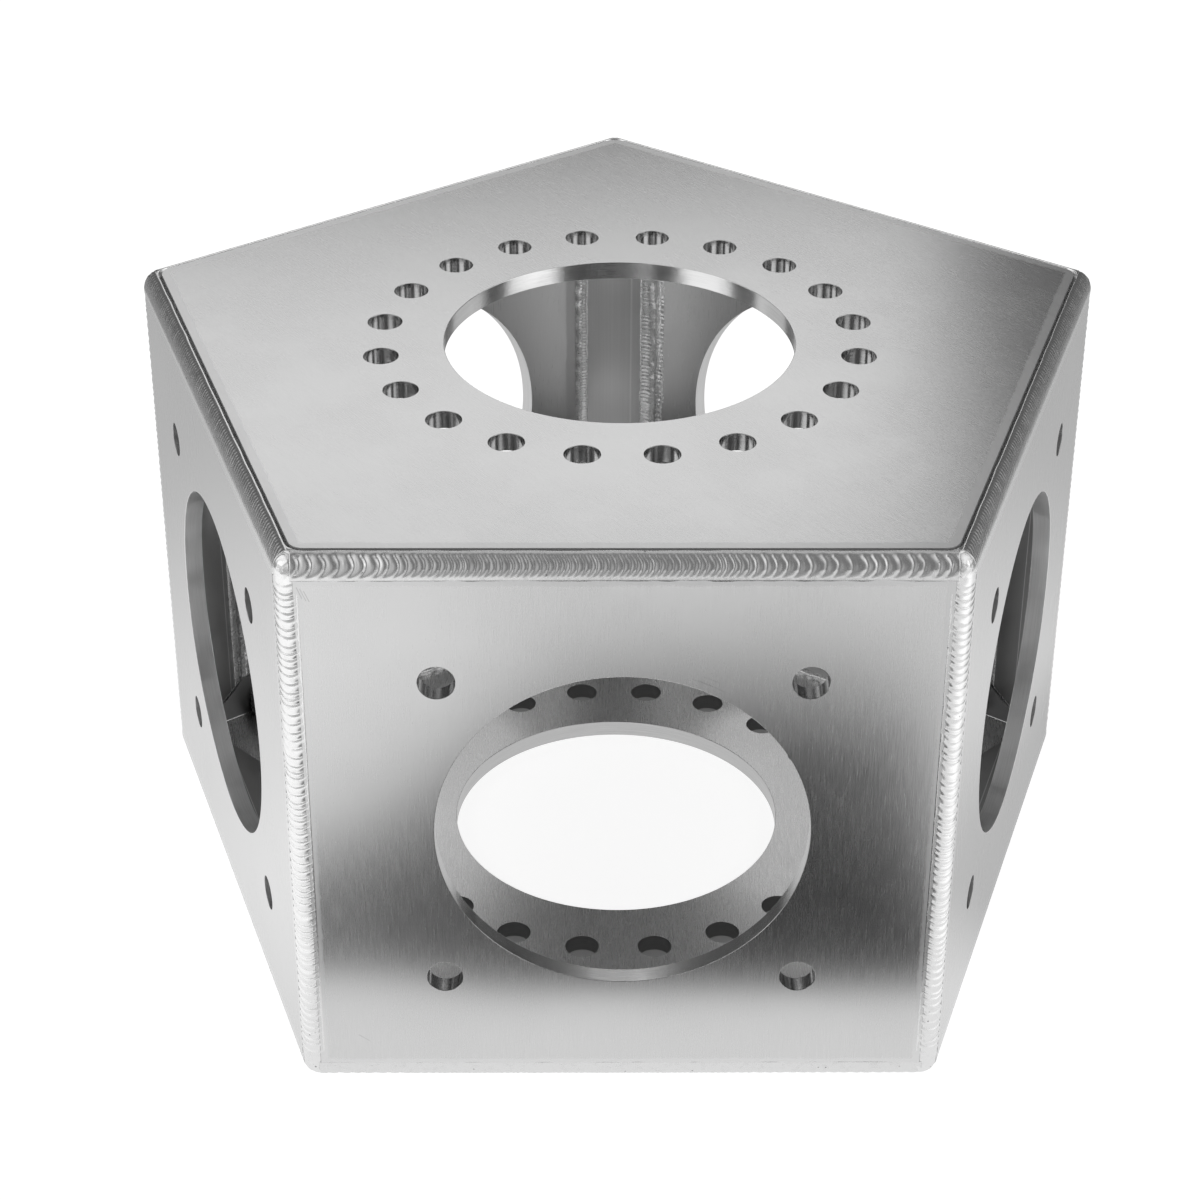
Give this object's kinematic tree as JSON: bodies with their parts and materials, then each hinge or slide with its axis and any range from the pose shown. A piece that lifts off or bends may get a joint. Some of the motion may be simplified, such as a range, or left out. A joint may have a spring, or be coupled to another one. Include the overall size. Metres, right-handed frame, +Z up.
{
  "type": "truss junction block",
  "caption": "Pentagonal welded aluminium block that joins box truss runs at 72 degrees, with a bored and drilled plate on every side, top and bottom.",
  "frame": {"origin": "centre of the bottom bore, in the plane of the underside", "axes": "+Z up along the block's axis through the top and bottom bores; -Y out of the front plate; +Y towards the rear corner"},
  "size_m": [0.502, 0.4783, 0.3048],
  "materials": {
    "end_plate": "bare mill plate, fine brushed grain, satin",
    "side_plate": "bare mill plate, fine upright brushed grain, satin",
    "outside_weld": "rippled weld bead, bright",
    "inside_weld": "rippled weld bead, duller",
    "backing_bar": "extruded flat bar, satin"
  },
  "bodies": {
    "root": {"bottom_bar_front": "backing_bar", "bottom_bar_left_front": "backing_bar", "bottom_bar_left_rear": "backing_bar", "bottom_bar_right_front": "backing_bar", "bottom_bar_right_rear": "backing_bar", "bottom_bar_weld_front": "inside_weld", "bottom_bar_weld_left_front": "inside_weld", "bottom_bar_weld_left_rear": "inside_weld", "bottom_bar_weld_right_front": "inside_weld", "bottom_bar_weld_right_rear": "inside_weld", "bottom_bead_front": "outside_weld", "bottom_bead_left_front": "outside_weld", "bottom_bead_left_rear": "outside_weld", "bottom_bead_right_front": "outside_weld", "bottom_bead_right_rear": "outside_weld", "bottom_corner_fillets": "inside_weld", "bottom_plate": "end_plate", "corner_bar_front_left": "backing_bar", "corner_bar_front_right": "backing_bar", "corner_bar_left": "backing_bar", "corner_bar_rear": "backing_bar", "corner_bar_right": "backing_bar", "corner_bar_weld_front_left": "inside_weld", "corner_bar_weld_front_right": "inside_weld", "corner_bar_weld_left": "inside_weld", "corner_bar_weld_rear": "inside_weld", "corner_bar_weld_right": "inside_weld", "corner_bead_front_left": "outside_weld", "corner_bead_front_right": "outside_weld", "corner_bead_left": "outside_weld", "corner_bead_rear": "outside_weld", "corner_bead_right": "outside_weld", "front_plate": "side_plate", "left_front_plate": "side_plate", "left_rear_plate": "side_plate", "right_front_plate": "side_plate", "right_rear_plate": "side_plate", "top_bar_front": "backing_bar", "top_bar_left_front": "backing_bar", "top_bar_left_rear": "backing_bar", "top_bar_right_front": "backing_bar", "top_bar_right_rear": "backing_bar", "top_bar_weld_front": "inside_weld", "top_bar_weld_left_front": "inside_weld", "top_bar_weld_left_rear": "inside_weld", "top_bar_weld_right_front": "inside_weld", "top_bar_weld_right_rear": "inside_weld", "top_bead_front": "outside_weld", "top_bead_left_front": "outside_weld", "top_bead_left_rear": "outside_weld", "top_bead_right_front": "outside_weld", "top_bead_right_rear": "outside_weld", "top_corner_fillets": "inside_weld", "top_plate": "end_plate"}
  },
  "joints": []
}
